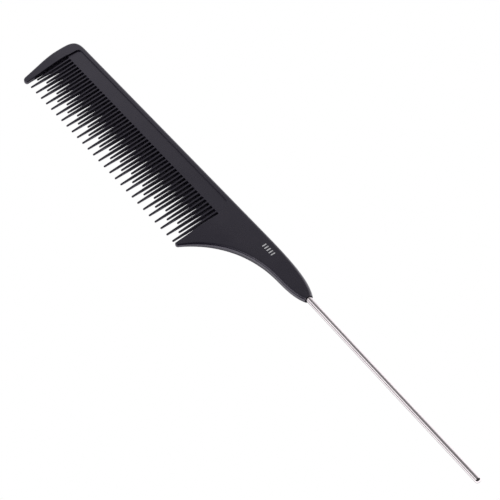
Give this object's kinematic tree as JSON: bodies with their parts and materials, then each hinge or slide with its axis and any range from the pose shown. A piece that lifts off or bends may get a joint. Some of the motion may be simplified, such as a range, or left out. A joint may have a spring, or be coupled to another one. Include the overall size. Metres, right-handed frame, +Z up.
{
  "type": "rat tail comb",
  "caption": "Flat hairdressing comb: long teeth with medium and short teeth between them, a sunk band along the spine, a swept handle and a thin round steel tail with a rounded tip.",
  "frame": {"origin": "bottom centre of the comb's box as it lies flat on its broad face", "axes": "+X along the comb from the front guard to the tip of the tail, +Y from the tooth tips to the back of the spine, +Z up through the thickness"},
  "size_m": [0.2352, 0.0252, 0.0025],
  "materials": {
    "comb_plastic": "satin",
    "pin_steel": "polished"
  },
  "bodies": {
    "root": {"comb_body": "comb_plastic", "tail_pin": "pin_steel"}
  },
  "joints": []
}
